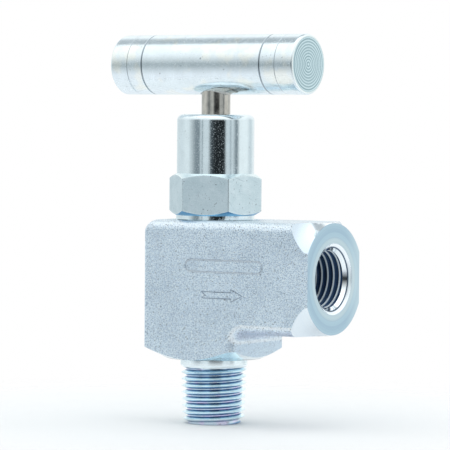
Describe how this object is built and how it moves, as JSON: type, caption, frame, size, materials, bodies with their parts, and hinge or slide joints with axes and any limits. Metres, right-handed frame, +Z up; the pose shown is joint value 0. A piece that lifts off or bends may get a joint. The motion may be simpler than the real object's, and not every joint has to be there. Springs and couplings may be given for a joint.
{
  "type": "angle needle valve",
  "caption": "Angle needle valve with a square forged body, tapered male inlet below, tapered female outlet at the side, hexagonal bonnet and a turning T-handle.",
  "frame": {"origin": "centre of the inlet thread's end face, on the stem's axis", "axes": "+Z runs up the stem's axis to the handle, +X points out of the outlet port, and the face with the flow arrow looks along -Y"},
  "size_m": [0.0529, 0.0208, 0.0822],
  "materials": {
    "zinc_plated_forging": "blasted forging under clear-blue zinc plate, satin",
    "zinc_plated_steel": "turned, bright zinc plate",
    "stainless_steel": "ground, semi-bright",
    "black_oxide_steel": "black oxide, satin",
    "copper": "soft copper",
    "nitrile_rubber": "matte",
    "ptfe": "waxy matte",
    "urethane": "satin"
  },
  "bodies": {
    "housing": {"valve_body": "zinc_plated_forging", "bonnet": "zinc_plated_steel", "bonnet_gasket": "copper", "stem_wiper": "urethane"},
    "needle": {"ball_tip": "stainless_steel"},
    "spindle": {"stem": "stainless_steel", "stem_o_ring": "nitrile_rubber", "backup_ring_lower": "ptfe", "backup_ring_upper": "ptfe", "handle_bar": "zinc_plated_steel", "handle_set_screw": "black_oxide_steel"}
  },
  "joints": [
    {"name": "stem_lift", "type": "slide", "parent": "housing", "child": "needle", "axis": [0, 0, 1], "range_m": [-0.0025, 0.00125]},
    {"name": "handle_turn", "type": "hinge", "parent": "needle", "child": "spindle", "pos_m": [0, 0, 0.0318], "axis": [0, 0, 1], "range_deg": [-720, 360]}
  ],
  "couplings": [
    {"joint": "stem_lift", "follows": "handle_turn", "m_per_rad": 0.00019894}
  ]
}
